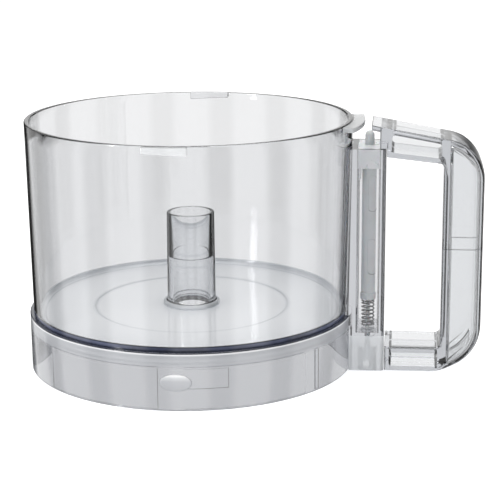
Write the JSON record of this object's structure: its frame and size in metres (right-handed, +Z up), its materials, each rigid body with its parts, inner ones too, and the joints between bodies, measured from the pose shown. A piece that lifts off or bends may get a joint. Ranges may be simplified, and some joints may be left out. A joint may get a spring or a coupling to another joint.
{
  "type": "food processor work bowl",
  "caption": "Clear round work bowl of a food processor with a centre tube, bayonet skirt, loop handle and sprung lid-lock push rod.",
  "frame": {"origin": "bottom centre of the whole object's box, on the table under the bowl's right half; the bowl's own axis stands at x = -0.0374 m", "axes": "+Z up along the bowl's axis, +X from the bowl towards the handle, -Y the side with the oval thumb pad"},
  "size_m": [0.2658, 0.1966, 0.146],
  "materials": {
    "clear_bowl_polycarbonate": "clear polycarbonate, polished mould",
    "clear_skirt_polycarbonate": "clear polycarbonate, polished mould",
    "clear_tube_polycarbonate": "clear polycarbonate, polished mould",
    "clear_housing_polycarbonate": "clear polycarbonate, polished mould",
    "clear_handle_polycarbonate": "clear polycarbonate, polished mould",
    "natural_acetal_cap": "milky natural acetal",
    "grey_acetal_rod": "grey acetal, fine satin",
    "stainless_spring_wire": "drawn stainless wire"
  },
  "bodies": {
    "bowl": {"bowl_body": "clear_bowl_polycarbonate", "base_skirt": "clear_skirt_polycarbonate", "centre_tube": "clear_tube_polycarbonate", "rod_housing": "clear_housing_polycarbonate", "handle_upper": "clear_handle_polycarbonate", "handle_lower": "clear_handle_polycarbonate", "rod_guide_cap": "natural_acetal_cap", "rod_spring": "stainless_spring_wire"},
    "lock_rod": {"push_rod": "grey_acetal_rod"}
  },
  "joints": [
    {"name": "rod_press", "type": "slide", "parent": "bowl", "child": "lock_rod", "axis": [0, 0, -1], "range_m": [0, 0.006], "stiffness_N_per_m": 1200, "springref_m": -0.002, "deforming": ["rod_spring"]}
  ]
}
